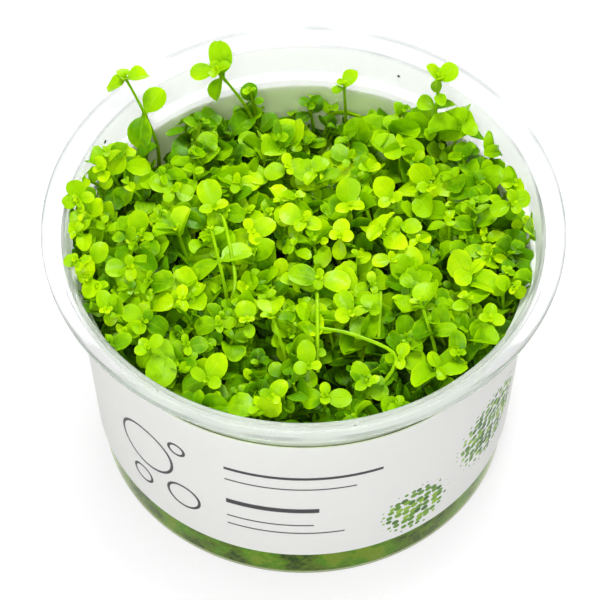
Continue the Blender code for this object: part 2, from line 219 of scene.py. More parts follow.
# Every tall shoot, as its solid has it, in millimetres: foot (x, y), tip (x, y, z) and leaf pairs.
# A pair has its share of the stem, the bearing of its first leaf in degrees, the length and the lift
# in degrees of the first leaf and of the second, and how far the second is turned off opposite.
SHOOTS = [
    ((-28.5, 27.8), (-34.5, 31, 67), [(0.64, 32, 6, 28, 6.8, -35, 25), (0.99, 15, 4.8, -12, 4.4, 12)]),
    ((-9.5, 36.5), (-17, 35.5, 64), [(0.92, 72, 7.2, 35, 5.4, -30, -35), (1, 180, 5.2, 20, 3.2, 15)]),
    ((-9, 37.5), (-10.5, 38, 54.5), [(0.80, 115, 4, 50, 2.2, 10, 60)]),
    ((8.5, 36), (8, 37.5, 57), [(0.96, 60, 4.6, 32, 2.5, 0, -50)]),
    ((2, 38), (1, 38, 50), [(0.75, 45, 4.2, 40, 3.5, 20)]),
    ((25, 27), (26.5, 31.5, 66.5), [(0.36, 200, 4.5, 10, 2.5, 20), (0.72, 20, 4.2, 15, 4, 20, -35),
                                  (0.86, 100, 3.5, 20, 3.5, 10), (0.97, 0, 4.6, 60, 4.2, 55)]),
    ((17, 35), (20, 34, 54), [(0.85, 150, 2.8, 50, 2.4, 40)]),
    ((13, 35), (14, 35, 50), [(0.75, 100, 3.2, 50, 2.8, 20)]),
    ((29, 26), (32, 23, 55), [(0.85, 10, 3.4, 5, 2.6, 30)]),
    ((37, 10), (40, 5, 61), [(0.60, 330, 4.3, -15, 3, 15), (0.93, 30, 4, 25, 4.4, 10)]),
    ((34, 19), (36, 17, 54), [(0.80, 300, 4.5, 20, 3.5, 30)]),
    ((38, -10), (39.7, -13, 58), [(0.80, 335, 3.7, 8, 3.5, 20)]),
    ((-39, 11), (-43, 5, 62), [(0.50, 300, 4.5, 10, 3, 20), (0.86, 95, 4.8, 38, 3, 10),
                               (0.97, 195, 3.6, 25, 3, 0)]),
    ((-39, -5), (-42.8, -9.5, 62), [(0.55, 40, 4.8, 20, 3, 10), (0.92, 180, 3.2, 30, 2.6, 10)]),
    ((-36, 17), (-39, 14, 60), [(0.62, 50, 5.5, 30, 3, 10), (0.88, 100, 3.5, 50, 3, 40)]),
    ((-14.5, -11), (-17.5, -1, 60), [(0.72, 5, 6.6, 8, 5.8, -5), (0.95, 40, 3.2, 40, 3, 20)]),
    ((-3, -25), (-6, -19, 57), [(0.97, 100, 6.2, 36, 2.6, 20)]),
    ((25, -24), (22, -18, 60), [(0.60, 185, 5, -5, 5, 0), (0.92, 70, 7, 40, 3, 30)]),
    ((32, -17), (31, -15, 57), [(0.85, 40, 5.2, 20, 3.6, 20)]),
    ((16, -26), (18, -28, 56), [(0.80, 0, 6, 10, 3, 30)]),
    ((-1, 8), (0, 4, 57), [(0.50, 250, 3.5, 0, 4, 0), (0.85, 155, 4.8, 15, 4, 20)]),
    ((8, 13), (9, 8, 56), [(0.82, 100, 5.5, 20, 4.5, 0, -25)]),
    ((17, 15), (17, 10, 56), [(0.82, 120, 5, 20, 4, 10)]),
    ((24, 18), (24, 12, 57), [(0.82, 110, 5.5, 30, 3, 0)]),
    ((19, 7), (18, 2, 57), [(0.82, 175, 4.8, 0, 4.5, 5)]),
    ((17, -1), (17, -5, 56), [(0.80, 10, 6, 15, 4, 10)]),
    ((7, 3), (7, 0, 57), [(0.85, 265, 4.2, 0, 3.8, 20)]),
    ((3, -7), (3, -10, 57), [(0.85, 170, 6, 10, 6, 0)]),
    ((12, -8), (13, -10, 55), [(0.75, 20, 4.5, 5, 3, 10)]),
    ((9, -15), (9, -17, 55), [(0.75, 110, 5.4, 10, 5.4, 5, 15)]),
    ((-10, 5), (-10, 2, 56), [(0.80, 200, 5, 0, 5, 10)]),
    ((-17, 9), (-17, 7, 57), [(0.82, 110, 6.3, 15, 4.5, 0, -20)]),
    ((-25, 16), (-25, 12, 56), [(0.78, 150, 5, 10, 4, 10)]),
    ((-31, 4), (-31, 0, 57), [(0.80, 100, 5, 15, 4, 0)]),
    ((-34, -5), (-33, -8, 58), [(0.82, 195, 4.5, 0, 5, 10)]),
    ((-30, -17), (-30, -20, 57), [(0.80, 150, 4.9, 15, 5, 0)]),
    ((-37, -16), (-37, -19, 59), [(0.80, 110, 4, 20, 3, 0)]),
    ((-28, -27), (-29, -28, 59), [(0.80, 300, 6.8, -20, 3.5, 20)]),
    ((-18, -30), (-18, -33, 56), [(0.78, 60, 5.8, 20, 5.2, 5, -45)]),
    ((-22, -23), (-22, -25, 56), [(0.75, 190, 4.6, 5, 4.2, 20)]),
    ((-16, -17), (-16, -20, 56), [(0.75, 190, 4.8, 0, 3.5, 5)]),
    ((-10.5, -18), (-10.5, -20, 57), [(0.85, 100, 4.3, 30, 3, 0)]),
    ((1, -27), (1, -30, 56), [(0.80, 100, 5.4, 30, 3.8, 0)]),
    ((4, -34), (4, -36, 55), [(0.75, 0, 5, 5, 4.5, 0)]),
    ((-6, -34), (-6, -37, 56), [(0.75, 55, 4.3, 25, 5, -10, -20)]),
    ((12, -31), (12, -33, 55), [(0.75, 120, 5, 25, 4.4, 15, 20)]),
    ((29, -26), (29, -27, 56), [(0.75, 95, 5.2, 30, 2.5, 0)]),
    ((34, -18), (35, -20.5, 58), [(0.80, 265, 5.8, -10, 3.5, 30)]),
    ((35, -1), (35, -4, 57), [(0.80, 170, 4.5, 10, 4.5, 0)]),
    ((28, 2), (28, 4, 57), [(0.85, 175, 4.5, 0, 4.5, 0)]),
    ((34, 9), (32.5, 7, 57), [(0.85, 340, 3.8, -5, 2.8, 10)]),
    ((-23, -12), (-23, -14, 56), [(0.75, 180, 4.5, 0, 4.5, 0)]),
    ((-13, 18), (-13, 14, 56), [(0.80, 170, 4.5, 10, 4.5, 0)]),
    ((-4, 22), (-3, 18, 56), [(0.80, 20, 4.5, 10, 4.5, 10)]),
    ((10, 25), (9, 21, 55), [(0.78, 150, 4.5, 10, 4.5, 0)]),
    ((-21.5, 28.5), (-20, 31, 53.5), [(0.92, 50, 5.5, 30, 3.6, 10, -45)]),
]

# Creeping stems that show between the leaves, in millimetres
RUNNER_POINTS = 16
RUNNER_TINT = 0.45
RUNNERS = [
    [(3.1, -20.4, 55), (8.8, -22.8, 56.5), (16.3, -26.3, 56), (17, -29.3, 55), (13.4, -33.3, 52)],
    [(2.6, -10, 53), (2.6, -14, 56), (2.6, -20, 56.5), (2.7, -28.5, 52)],
    [(14.5, -10.5, 53), (14.6, -14, 56), (14.2, -21.2, 53)],
    [(-14, -13, 52), (-13, -9, 56), (-15, 2, 58), (-16, 6, 56)],
]

# Studio: each lamp has its name, place and size in metres and power in watts
FLOOR_SIZE = 6.0
FLOOR_DROP = 0.05 * MM
FLOOR_GLOW = 0.74
SURROUND_STRENGTH = 0.40
LAMPS = [("key", (-0.12, -0.52, 0.66), 0.26, 3.0), ("top", (0.06, 0.04, 0.80), 0.22, 5.0),
         ("back", (0.05, 0.62, 0.24), 0.34, 2.6)]


class Graph:
    """Short ways to write the nodes of one material."""

    def __init__(self, name):
        self.material = bpy.data.materials.new(name)
        self.material.use_nodes = True
        self.tree = self.material.node_tree
        self.shader = self.tree.nodes["Principled BSDF"]
        self.output = self.tree.nodes["Material Output"]

    def node(self, kind, **settings):
        """A new shader node with its settings."""
        made = self.tree.nodes.new("ShaderNode" + kind)
        for key, value in settings.items():
            setattr(made, key, value)
        return made

    def feed(self, socket, value):
        """Link a socket, or give it a plain value. A colour has three numbers."""
        if isinstance(value, bpy.types.NodeSocket):
            self.tree.links.new(value, socket)
        else:
            socket.default_value = (*value, 1.0) if socket.type == "RGBA" else value

    def fed(self, made, values):
        """Outputs of a node, once its sockets are fed."""
        for key, value in values.items():
            self.feed(made.inputs[key], value)
        return made.outputs

    def math(self, operation, first, second=0.0, third=0.0, clamp=False):
        made = self.node("Math", operation=operation, use_clamp=clamp)
        for socket, value in zip(made.inputs, (first, second, third)):
            self.feed(socket, value)
        return made.outputs[0]

    def times(self, first, second):
        return self.math("MULTIPLY", first, second)

    def scaled(self, value, scale, offset):
        return self.math("MULTIPLY_ADD", value, scale, offset)

    def step(self, value, low, high):
        """0 below low and 1 above high, with a smooth rise between; falls if low is above high."""
        first, last = (0.0, 1.0) if low < high else (1.0, 0.0)
        made = self.node("MapRange", interpolation_type="SMOOTHSTEP")
        return self.fed(made, {"Value": value, "From Min": min(low, high), "From Max": max(low, high),
                               "To Min": first, "To Max": last})["Result"]

    def mix(self, share, first, second):
        """The first colour, with a share of the second mixed in."""
        made = self.node("Mix", data_type="RGBA")
        return self.fed(made, {0: share, 6: first, 7: second})[2]

    def ramp(self, value, stops):
        made = self.node("ValToRGB")
        made.color_ramp.interpolation = "EASE"
        points = made.color_ramp.elements
        while len(points) < len(stops):
            points.new(0.5)
        for point, (place, colour) in zip(points, stops):
            point.position = place
            point.color = (*colour, 1.0)
        self.feed(made.inputs[0], value)
        return made.outputs["Color"]

    def attribute(self, name):
        return self.node("Attribute", attribute_name=name).outputs["Fac"]

    def place(self):
        """The place on the object, in metres."""
        return self.node("TexCoord").outputs["Object"]

    def axes(self, vector):
        return self.fed(self.node("SeparateXYZ"), {0: vector})

    def noise(self, scale, detail=2.0, roughness=0.5):
        return self.fed(self.node("TexNoise"), {
            "Vector": self.place(), "Scale": scale, "Detail": detail, "Roughness": roughness})["Fac"]

    def flat_place(self):
        """The place without its height."""
        made = self.node("VectorMath", operation="MULTIPLY")
        return self.fed(made, {0: self.place(), 1: (1.0, 1.0, 0.0)})[0]

    def crumbs(self):
        """1 on the crumbs that lie on the lip and the collar, 0 elsewhere."""
        found = None
        for x, y, z, size in CRUMBS:
            away = self.fed(self.node("VectorMath", operation="DISTANCE"),
                            {0: self.place(), 1: (x * MM, y * MM, z * MM)})
            crumb = self.step(away["Value"], size * MM, 0.6 * size * MM)
            found = crumb if found is None else self.math("MAXIMUM", found, crumb)
        return found

    def haze(self):
        """Slow change over the moulded plastic."""
        return self.noise(HAZE_SCALE, 3.0)

    def ripple(self):
        """Faint unevenness of the moulded plastic."""
        return self.bump(self.noise(45.0, 2.0), 0.25 * MM, 0.25)

    def bump(self, height, distance, strength):
        return self.fed(self.node("Bump"), {
            "Height": height, "Distance": distance, "Strength": strength})["Normal"]

    def let_light_through(self, share, colour):
        """Blend the shader with one that lets light through a thin sheet."""
        through = self.fed(self.node("BsdfTranslucent"), {"Color": colour})
        blend = self.fed(self.node("MixShader"), {0: share, 1: self.shader.outputs[0], 2: through[0]})
        self.feed(self.output.inputs["Surface"], blend[0])

    def set(self, **values):
        """Feed the shader's own sockets; an underscore stands for a space."""
        self.fed(self.shader, {key.replace("_", " "): value for key, value in values.items()})


def leaf_material(name, low, high):
    """Thin moist leaf: yellow-green over the height high and in young leaves, and deeper below low, which is
    painted shade; also painted shade towards the leaf's base and a painted highlight along its rim.
    """
    graph = Graph(name)
    u, v = graph.attribute("leaf_u"), graph.math("ABSOLUTE", graph.attribute("leaf_v"))
    tint, stem = graph.attribute("tint"), graph.attribute("stem")
    # Painted shade: the green deepens from the height high down to low, lower in the mat
    height = graph.step(graph.axes(graph.place())[2], low, high)
    tone = graph.scaled(tint, 0.62, graph.times(height, 0.36))
    mottle = graph.noise(900.0, 3.0, 0.6)
    # Random tone, with painted shade towards the leaf's base and a painted highlight along its rim
    tone_drift_and_painted_light = graph.scaled(graph.noise(260.0, 2.0), 0.60, -0.30)
    tone_drift_and_painted_light = graph.math("ADD", tone_drift_and_painted_light, graph.scaled(u, 0.16, -0.10))
    tone_drift_and_painted_light = graph.math("ADD", tone_drift_and_painted_light, graph.times(graph.step(v, 0.80, 1.0), 0.10))
    tone = graph.math("ADD", tone, graph.scaled(mottle, 0.20, -0.10))
    tone = graph.math("ADD", tone, tone_drift_and_painted_light, clamp=True)
    stops = [(0.0, (0.025, 0.095, 0.001)), (0.28, (0.140, 0.390, 0.001)),
             (0.58, (0.400, 0.720, 0.001)), (1.0, (0.700, 0.940, 0.001))]
    blade = graph.ramp(tone, stops)
    midrib = graph.times(graph.step(v, 0.10, 0.02), graph.step(u, 0.95, 0.6))
    ray = graph.math("FRACT", graph.scaled(v, -1.1, graph.times(u, 4.5)))
    side_vein = graph.step(graph.math("ABSOLUTE", graph.math("SUBTRACT", ray, 0.5)), 0.10, 0.02)
    veins = graph.math("MAXIMUM", midrib, graph.times(side_vein, 0.35))
    pale = (0.520, 0.850, 0.010)
    colour = graph.mix(graph.times(veins, 0.35), blade, pale)
    colour = graph.mix(graph.times(stem, 0.35), colour, pale)
    shine = graph.noise(500.0, 2.0)
    relief = graph.math("SUBTRACT", graph.times(mottle, 0.5), graph.times(veins, 0.5))
    graph.set(Base_Color=colour, Roughness=graph.scaled(shine, 0.34, 0.12),
              Specular_IOR_Level=0.14, Normal=graph.bump(relief, 0.12 * MM, 0.9))
    graph.let_light_through(0.37, graph.mix(0.5, colour, (0.480, 0.800, 0.001)))
    return graph.material


def shade_core_material():
    """Painted shade: a dark sheet deep in the mat, in place of the shaded tangle of old stems and leaves."""
    graph = Graph("mat_shade_core")
    clump = graph.noise(420.0, 4.0, 0.65)
    colour = graph.ramp(clump, [(0.30, (0.006, 0.022, 0.001)), (0.55, (0.018, 0.055, 0.003)),
                                (0.80, (0.045, 0.110, 0.006))])
    graph.set(Base_Color=colour, Roughness=0.6, Normal=graph.bump(clump, 0.8 * MM, 0.9))
    return graph.material


def clear_foot_material():
    """Clear moulded polypropylene round the gel, with painted shade at its base corner."""
    graph = Graph("clear_foot")
    # Painted shade: a darker tint at the base corner that tones down its bright edge
    corner = graph.step(graph.axes(graph.place())[2], 2.0 * MM, 1.0 * MM)
    tint = graph.mix(corner, (0.74, 0.88, 0.34), (0.34, 0.40, 0.24))
    graph.set(Base_Color=tint, Roughness=graph.scaled(graph.haze(), 0.05, 0.03), IOR=1.15,
              Transmission_Weight=1.0)
    return graph.material


def collar_material():
    """The collar above the label: misted in front, where the plants touch it, with painted green shade there
    from the plants behind it, and clear behind.
    """
    graph = Graph("clear_collar")
    front_mist_and_shade = graph.step(graph.axes(graph.place())[1], 14.0 * MM, -12.0 * MM)
    clear = (0.97, 0.98, 0.97)
    # Painted green shade of the plants behind the front of the collar, on its misted plastic
    misted_green_shade = graph.mix(graph.haze(), (0.81, 0.89, 0.75), (0.91, 0.95, 0.87))
    crumbs = graph.crumbs()
    clearness = graph.scaled(front_mist_and_shade, -0.36, 0.74)
    graph.set(Base_Color=graph.mix(crumbs, graph.mix(front_mist_and_shade, clear, misted_green_shade), (0.030, 0.050, 0.020)),
              Roughness=graph.scaled(front_mist_and_shade, 0.12, 0.12), IOR=1.08,
              Transmission_Weight=graph.times(clearness, graph.math("SUBTRACT", 1.0, crumbs)),
              Normal=graph.ripple())
    return graph.material


def misted_plant_lit_wall_material():
    """The same plastic above the gel, misted by moisture, with painted green light that the plants throw on
    it.
    """
    graph = Graph("misted_plant_lit_wall")
    haze = graph.haze()
    # Painted green light from the plants over the misted plastic
    graph.set(Base_Color=graph.mix(haze, (0.86, 0.95, 0.70), (0.94, 0.98, 0.80)),
              Roughness=graph.scaled(haze, 0.10, 0.16), IOR=1.08, Transmission_Weight=0.72,
              Normal=graph.ripple())
    return graph.material


def lip_material():
    """The wide lip: smooth, a little milky, with a few crumbs of leaf left on it and painted shade lines
    along its edges.
    """
    graph = Graph("clear_lip")
    haze = graph.haze()
    crumbs = graph.crumbs()
    reach = graph.fed(graph.node("VectorMath", operation="LENGTH"), {0: graph.flat_place()})
    # Painted shade: faint grey lines along the lip's edges, broken in places
    edges = None
    for radius in LIP_EDGE_SHADE_LINES:
        off = graph.math("ABSOLUTE", graph.math("SUBTRACT", reach["Value"], radius))
        line = graph.step(off, 0.34 * MM, 0.08 * MM)
        edges = line if edges is None else graph.math("MAXIMUM", edges, line)
    edges = graph.times(edges, graph.step(graph.noise(60.0, 2.0), 0.40, 0.60))
    milk = graph.mix(haze, (0.86, 0.87, 0.875), (0.89, 0.895, 0.905))
    milk = graph.mix(edges, milk, (0.52, 0.56, 0.55))
    graph.set(Base_Color=graph.mix(crumbs, milk, (0.030, 0.045, 0.012)),
              Roughness=graph.scaled(haze, 0.10, 0.14), IOR=1.12,
              Transmission_Weight=graph.scaled(crumbs, -0.86, 0.86),
              Normal=graph.ripple())
    return graph.material


def gel_material():
    """Olive jelly, mottled with fine roots and darker crumbs."""
    graph = Graph("growing_gel")
    patch = graph.noise(140.0, 4.0, 0.6)
    roots = graph.fed(graph.node("TexVoronoi", feature="DISTANCE_TO_EDGE"),
                      {"Vector": graph.place(), "Scale": 330.0})
    thread = graph.step(roots["Distance"], 0.10, 0.02)
    colour = graph.ramp(patch, [(0.40, (0.040, 0.085, 0.006)), (0.47, (0.165, 0.230, 0.006)),
                                (0.53, (0.150, 0.340, 0.004)), (0.62, (0.340, 0.400, 0.050))])
    colour = graph.mix(graph.times(thread, 0.20), colour, (0.48, 0.52, 0.16))
    graph.set(Base_Color=colour, Roughness=0.40, IOR=1.34, Specular_IOR_Level=0.06,
              Normal=graph.bump(patch, 0.4 * MM, 0.4))
    return graph.material


def label_material():
    """White film with a generic print: dark bubble rings, fine water lines and clusters of green flecks, and
    painted green light on its inner face.
    """
    graph = Graph("printed_label")
    x, y, z = graph.axes(graph.place())
    around = graph.math("ARCTAN2", x, graph.times(y, -1.0))
    across = graph.times(around, LABEL_MEAN_RADIUS)
    height = graph.times(z, 1.0 / MM)

    def away(centre_x, centre_z):
        """Distance on the film from a place, in millimetres."""
        over = graph.math("POWER", graph.math("SUBTRACT", across, centre_x), 2.0)
        up = graph.math("POWER", graph.math("SUBTRACT", height, centre_z), 2.0)
        return graph.math("SQRT", graph.math("ADD", over, up))

    def line(distance, half_width):
        """1 on a line at no distance, 0 beside it."""
        return graph.step(graph.math("ABSOLUTE", distance), half_width + PRINT_EDGE,
                          half_width - PRINT_EDGE)

    def within(value, low, high):
        """1 between low and high, 0 outside them."""
        rise = graph.step(value, low - 0.1, low + 0.1)
        return graph.times(rise, graph.step(value, high + 0.1, high - 0.1))

    dark = None
    for centre_x, centre_z, radius in LABEL_RINGS:
        ring = line(graph.math("SUBTRACT", away(centre_x, centre_z), radius), RING_LINE)
        dark = ring if dark is None else graph.math("MAXIMUM", dark, ring)
    for level, start, end, half_width in LABEL_BARS:
        stroke = line(graph.math("SUBTRACT", height, level), half_width)
        dark = graph.math("MAXIMUM", dark, graph.times(stroke, within(across, start, end)))

    pebble = graph.node("TexVoronoi", voronoi_dimensions="2D")
    film_place = graph.fed(graph.node("CombineXYZ"), {0: across, 1: height})[0]
    pebble = graph.fed(pebble, {"Vector": film_place, "Scale": 0.60, "Randomness": 0.6})
    edge = None
    for centre_x, centre_z, radius in FLECK_CLUSTERS:
        spread = graph.times(away(centre_x, centre_z), 1 / radius)
        edge = spread if edge is None else graph.math("MINIMUM", edge, spread)
    disc = graph.times(graph.step(edge, 1.0, 0.55), FLECK_SIZE)
    body = graph.step(graph.math("SUBTRACT", pebble["Distance"], disc), 0.03, -0.03)
    body = graph.times(body, graph.step(edge, 1.0, 0.98))
    shade = graph.axes(pebble["Color"])[0]
    green = graph.ramp(shade, [(0.0, (0.040, 0.150, 0.004)), (0.5, (0.140, 0.350, 0.010)),
                               (1.0, (0.370, 0.610, 0.040))])
    film = graph.mix(graph.noise(300.0, 2.0), (0.95, 0.94, 0.955), (0.98, 0.97, 0.985))
    colour = graph.mix(body, film, green)
    colour = graph.mix(dark, colour, (0.045, 0.045, 0.050))
    # Painted green light on the film's inner face, from the plants and the light through the film
    colour = graph.mix(graph.attribute("back"), colour, (0.90, 1.00, 0.66))
    graph.set(Base_Color=colour, Roughness=graph.scaled(graph.noise(220.0), 0.15, 0.32),
              Specular_IOR_Level=0.4, Normal=graph.bump(graph.noise(60.0, 2.0), 0.15 * MM, 0.35))
    graph.let_light_through(0.28, colour)
    return graph.material


def floor_material():
    """Pale studio floor that glows a little."""
    graph = Graph("studio_floor")
    speckle = graph.noise(30.0, 2.0)
    pale = graph.mix(speckle, (0.26, 0.26, 0.26), (0.28, 0.28, 0.28))
    graph.set(Base_Color=pale, Roughness=0.9, Emission_Color=(1.0, 1.0, 1.0),
              Emission_Strength=FLOOR_GLOW)
    return graph.material


def mesh_piece(name, corners, faces, material, values):
    """An object of one mesh of quads, from arrays, with float values at its corners."""
    mesh = bpy.data.meshes.new(name)
    mesh.vertices.add(len(corners))
    mesh.vertices.foreach_set("co", np.asarray(corners, np.float32).ravel())
    mesh.loops.add(faces.size)
    mesh.loops.foreach_set("vertex_index", np.asarray(faces, np.int32).ravel())
    mesh.polygons.add(len(faces))
    mesh.polygons.foreach_set("loop_start", np.arange(0, faces.size, faces.shape[1], dtype=np.int32))
    mesh.update(calc_edges=True)
    for key, numbers in values.items():
        mesh.attributes.new(key, "FLOAT", "POINT").data.foreach_set("value", numbers.astype(np.float32))
    return smooth_object(name, mesh, material, 50)


def smooth_object(name, mesh, material, sharp_angle):
    """An object in the scene, shaded smooth but for edges over sharp_angle."""
    mesh.shade_smooth()
    mesh.set_sharp_from_angle(angle=math.radians(sharp_angle))
    mesh.materials.append(material)
    piece = bpy.data.objects.new(name, mesh)
    bpy.context.scene.collection.objects.link(piece)
    return piece


def inner_wall(height):
    """Inner radius of the cup at each height, with the lip's reach from its top edge up."""
    levels = np.array([0.0, STEP_HEIGHT, STEP_HEIGHT + STEP_SLOPE + WALL, LIP_HEIGHT - LIP_DISH,
                       LIP_HEIGHT + 1.5 * MM, 1.0])
    reaches = np.array([BASE_RADIUS - WALL, STEP_RADIUS - WALL, COLLAR_LOW_RADIUS - WALL,
                        COLLAR_TOP_RADIUS - WALL, LIP_RADIUS - WALL, LIP_RADIUS - WALL])
    return np.interp(height, levels, reaches) - WALL_CLEARANCE


def keep_in_cup(corners):
    """Press leaves that would cross the cup's wall against it, and keep them under the solids' top."""
    reach = np.hypot(corners[:, 0], corners[:, 1])
    limit = inner_wall(corners[:, 2])
    share = np.where(reach > limit, limit / np.maximum(reach, 1e-9), 1.0)
    corners[:, :2] *= share[:, None]
    corners[:, 2] = np.minimum(corners[:, 2], CAD_BOX[1].z - TOP_CLEARANCE)
    return corners


def box_faces(rows, cells):
    """Quads of a closed sheet: two grids of (rows + 1) by (cells + 1) corners and the strip between."""
    width = cells + 1
    under = (rows + 1) * width
    faces = []
    for row in range(rows):
        for cell in range(cells):
            a = row * width + cell
            faces.append((a, a + 1, a + 1 + width, a + width))
            faces.append((under + a, under + a + width, under + a + 1 + width, under + a + 1))
    for row in range(rows):
        for a, b in ((row * width, (row + 1) * width),
                     ((row + 1) * width + cells, row * width + cells)):
            faces.append((a, b, under + b, under + a))
    for cell in range(cells):
        for a, b in ((cell + 1, cell), (rows * width + cell, rows * width + cell + 1)):
            faces.append((a, b, under + b, under + a))
    return np.array(faces)


class Foliage:
    """Leaves and stems that grow into one mesh."""

    def __init__(self, rows, cells):
        self.rows, self.cells = rows, cells
        self.leaves, self.stems = [], []

    def leaf(self, base, outward, way, length, lift, tint, curl=1.0):
        """Add a leaf that leaves a stem outward, with a shape of its own."""
        lift = math.radians(lift)
        along = outward * math.cos(lift) + way * math.sin(lift)
        upward = way * math.cos(lift) - outward * math.sin(lift)
        across = along.cross(upward)
        roll = math.atan2(-across.dot(LIGHT_WAY), upward.dot(LIGHT_WAY))
        # A leaf turns towards the light, some more than others
        most = LEAF_TURN * RNG.uniform(0.2, 1.0)
        roll = min(max(roll, -most), most) + RNG.normal(0.0, 0.24) * curl
        across, upward = (across * math.cos(roll) + upward * math.sin(roll),
                          upward * math.cos(roll) - across * math.sin(roll))
        # Length, width, widest place, bend, fold, cup, twist, sweep, ruffle, its phase, and tint
        shape = (length, LEAF_WIDTH * RNG.uniform(0.76, 1.10), RNG.uniform(0.85, 1.25),
                 RNG.uniform(0.05, 1.25) * curl, RNG.uniform(0.0, 0.62) * curl,
                 RNG.uniform(-0.08, 0.16) * curl, RNG.normal(0.0, 0.28) * curl,
                 RNG.normal(0.0, 0.06) * curl, RNG.uniform(0.0, 0.06) * curl,
                 RNG.uniform(0.0, math.tau), np.clip(tint + RNG.normal(0.0, 0.13), 0.0, 1.0))
        self.leaves.append((*base, *along, *across, *upward, *shape))

    def stem(self, points, radii, tint):
        """Add a stem through points."""
        self.stems.append((points, radii, tint))

    def leaf_arrays(self):
        """Corners, faces and values of all leaves, worked out together."""
        table = np.array(self.leaves)
        base, along, across, upward = (table[:, None, k:k + 3] for k in (0, 3, 6, 9))
        length, width, widest, bend, fold, cup, twist, sweep, ruffle, phase, tint = (
            table[:, k, None] for k in range(12, 23))
        rows, cells = self.rows, self.cells
        steps = (1 - np.cos(np.pi * np.arange(rows + 1) / rows)) / 2
        u = np.repeat(steps, cells + 1)[None]
        v = np.tile(np.linspace(-1.0, 1.0, cells + 1), rows + 1)[None]

        blade = np.clip((u - PETIOLE_SHARE) / (1 - PETIOLE_SHARE), 0.0, 1.0) ** widest
        half = width / 2 * np.sqrt(np.clip(4 * blade * (1 - blade), 0.015, None))
        half = np.where(u < PETIOLE_SHARE * 1.2, PETIOLE_WIDTH, np.maximum(half, PETIOLE_WIDTH))
        half = np.where(u > 0.999, 0.10, half)
        open_share = np.clip(half / (width / 2), 0.0, 1.0)
        side = v * half + sweep * u ** 2
        rise = (fold * np.abs(v) + cup * v ** 2) * open_share * 0.5
        rise = rise + ruffle * np.sin(7.0 * u + phase) * v * np.abs(v)
        turn = twist * u
        side, rise = (side * np.cos(turn) - rise * np.sin(turn), side * np.sin(turn) + rise * np.cos(turn))
        bend = np.maximum(bend, 0.02)
        run = np.sin(bend * u) / bend
        drop = (1 - np.cos(bend * u)) / bend

        sheet = LEAF_SHEET / length * (1.0 - 0.45 * v ** 2) + np.where(u < PETIOLE_SHARE, 0.03, 0.0)
        corners = []
        for half_sheet in (sheet / 2, -sheet / 2):
            out = rise + half_sheet
            forward = run + out * np.sin(bend * u)
            lifted = out * np.cos(bend * u) - drop
            place = base + length[..., None] * (along * forward[..., None] + across * side[..., None]
                                                + upward * lifted[..., None])
            corners.append(place)
        corners = np.concatenate(corners, axis=1)
        count, size = corners.shape[:2]
        faces = box_faces(rows, cells)[None] + (np.arange(count) * size)[:, None, None]
        values = {"leaf_u": np.tile(u, (count, 2)), "leaf_v": np.tile(v, (count, 2)),
                  "tint": np.repeat(tint, size, axis=1), "stem": np.zeros((count, size))}
        return corners.reshape(-1, 3), faces.reshape(-1, 4), {k: a.ravel() for k, a in values.items()}

    def stem_arrays(self):
        """Corners, faces and values of all stems as closed tubes of quads."""
        corners, faces, tints = [], [], []
        turns = [math.tau * k / STEM_SIDES for k in range(STEM_SIDES)]
        for points, radii, tint in self.stems:
            start = len(corners)
            way = (points[1] - points[0]).normalized()
            side = way.orthogonal().normalized()
            for k, (point, radius) in enumerate(zip(points, radii)):
                way = (points[min(k + 1, len(points) - 1)] - points[max(k - 1, 0)]).normalized()
                side = (side - way * side.dot(way)).normalized()
                beside = way.cross(side)
                corners += [point + (side * math.cos(t) + beside * math.sin(t)) * radius for t in turns]
                tints += [tint] * STEM_SIDES
            for k in range(len(points) - 1):
                ring = start + k * STEM_SIDES
                faces += [(ring + s, ring + (s + 1) % STEM_SIDES,
                           ring + STEM_SIDES + (s + 1) % STEM_SIDES, ring + STEM_SIDES + s)
                          for s in range(STEM_SIDES)]
            end = start + (len(points) - 1) * STEM_SIDES
            faces += [(start, start + 3, start + 2, start + 1), (start, start + 5, start + 4, start + 3),
                      (end, end + 1, end + 2, end + 3), (end, end + 3, end + 4, end + 5)]
        count = len(corners)
        values = {"leaf_u": np.zeros(count), "leaf_v": np.full(count, 0.5), "tint": np.array(tints),
                  "stem": np.ones(count)}
        return np.array([tuple(corner) for corner in corners]), np.array(faces), values

    def piece(self, name, material):
        """All that has grown, as one object."""
        corners, faces, values = self.leaf_arrays()
        if self.stems:
            stem_corners, stem_faces, stem_values = self.stem_arrays()
            faces = np.concatenate([faces, stem_faces + len(corners)])
            corners = np.concatenate([corners, stem_corners])
            values = {key: np.concatenate([values[key], stem_values[key]]) for key in values}
        return mesh_piece(name, keep_in_cup(corners), faces, material, values)


def stem_frame(way, bearing):
    """Direction square to the stem that points to a bearing."""
    flat = Vector((math.cos(bearing), math.sin(bearing), 0.0))
    return (flat - way * flat.dot(way)).normalized()


